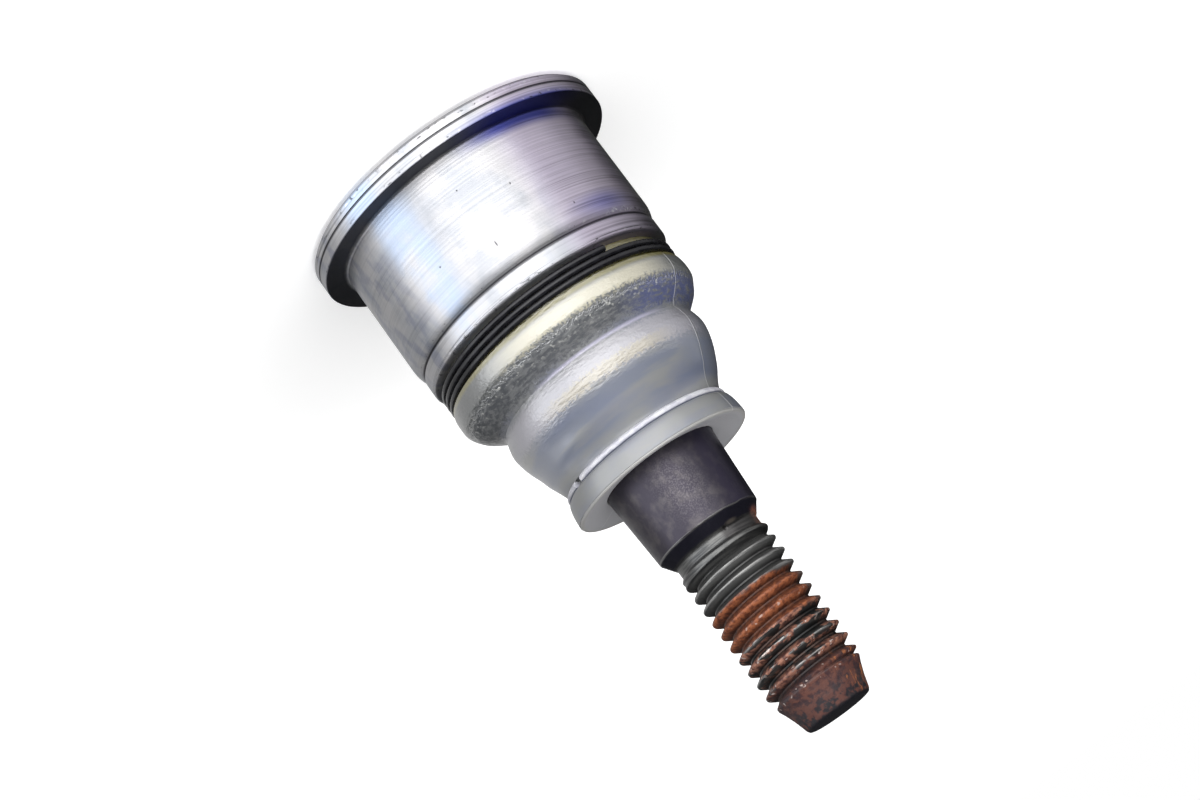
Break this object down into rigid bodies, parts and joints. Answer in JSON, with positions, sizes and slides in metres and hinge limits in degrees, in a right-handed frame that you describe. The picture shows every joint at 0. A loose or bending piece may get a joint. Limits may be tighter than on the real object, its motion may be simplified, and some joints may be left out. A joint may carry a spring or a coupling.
{
  "type": "suspension ball joint",
  "caption": "Press-in suspension ball joint: flanged round housing, two-fold dust boot with wire rings, tapered threaded ball stud.",
  "frame": {"origin": "centre of the closed end face of the housing, at the object's base", "axes": "+Z along the housing and the stud, from the closed end towards the threaded end; X and Y square to it, the boot lip ring's gap towards +X -Y"},
  "size_m": [0.0458, 0.0458, 0.0905],
  "materials": {
    "zinc_steel": "turned steel, bright zinc plated, scuffed",
    "cover_steel": "pressed steel, bright zinc plated",
    "spring_steel": "oiled spring steel",
    "seat_plastic": "white acetal, greased",
    "stud_steel": "black phosphate, rusted thread, polished ball",
    "boot_rubber": "translucent grey rubber, satin and finely grained",
    "black_wire": "black oiled spring wire",
    "zinc_wire": "bright zinc-plated spring wire",
    "insert_steel": "plain steel bonded to rubber"
  },
  "bodies": {
    "housing": {"housing": "zinc_steel", "cover_plate": "cover_steel", "disc_spring": "spring_steel", "pressure_seat": "seat_plastic", "ball_seat": "seat_plastic", "boot_clamp_ring": "black_wire"},
    "boot": {"dust_boot": "boot_rubber"},
    "boot_lip": {"boot_lip_ring": "zinc_wire", "lip_insert": "insert_steel"},
    "stud": {"ball_stud": "stud_steel"}
  },
  "joints": [
    {"name": "swing_x", "type": "hinge", "parent": "housing", "child": "boot", "pos_m": [0, 0, 0.0175], "axis": [1, 0, 0], "range_deg": [-20, 20], "deforming": ["dust_boot"]},
    {"name": "swing_y", "type": "hinge", "parent": "boot", "child": "boot_lip", "pos_m": [0, 0, 0.0175], "axis": [0, 1, 0], "range_deg": [-20, 20]},
    {"name": "spin", "type": "hinge", "parent": "boot_lip", "child": "stud", "pos_m": [0, 0, 0.0175], "axis": [0, 0, 1], "continuous": true}
  ]
}
